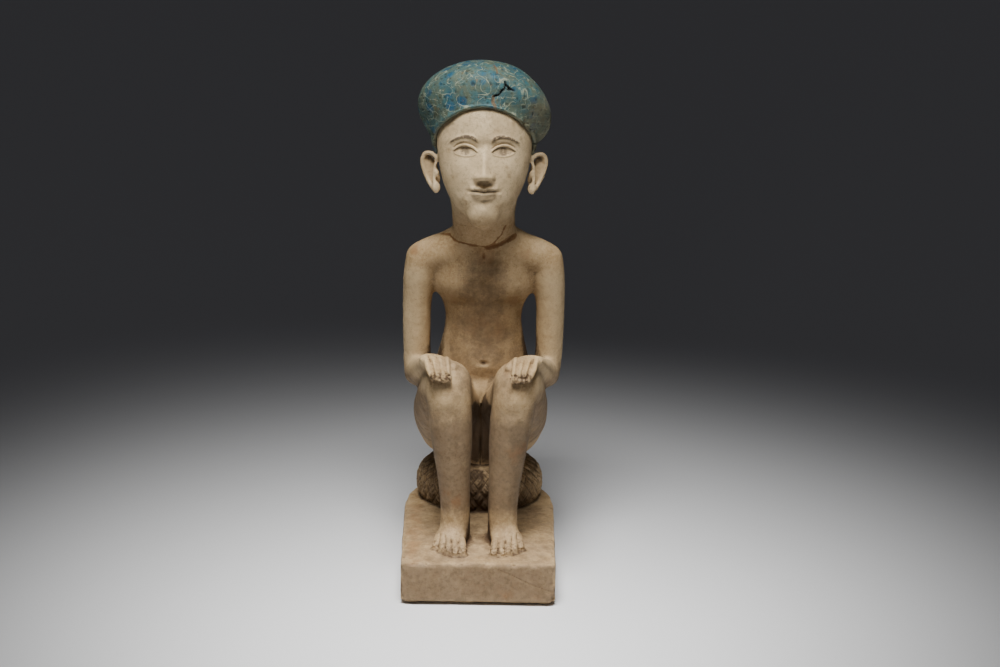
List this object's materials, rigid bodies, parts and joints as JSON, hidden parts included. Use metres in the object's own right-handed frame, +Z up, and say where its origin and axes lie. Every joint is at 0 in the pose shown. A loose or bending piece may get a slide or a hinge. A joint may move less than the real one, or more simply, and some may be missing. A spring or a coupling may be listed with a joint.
{
  "type": "seated man figurine",
  "caption": "Stone figurine of a seated man in a separate blue cap, hands on his knees, on a plaited cushion and a round-backed plinth.",
  "frame": {"origin": "centre of the plinth's underside, which is what the figurine stands on", "axes": "+Z up along the figure, -Y the way the man faces, +X to his left hand"},
  "size_m": [0.0557, 0.083, 0.1767],
  "materials": {
    "limestone": "carved and rubbed limestone, dull, with soil in its hollows",
    "blue_frit": "worn blue frit, dull, with pale veins and brown specks"
  },
  "bodies": {
    "root": {"figure": "limestone", "cap": "blue_frit"}
  },
  "joints": []
}
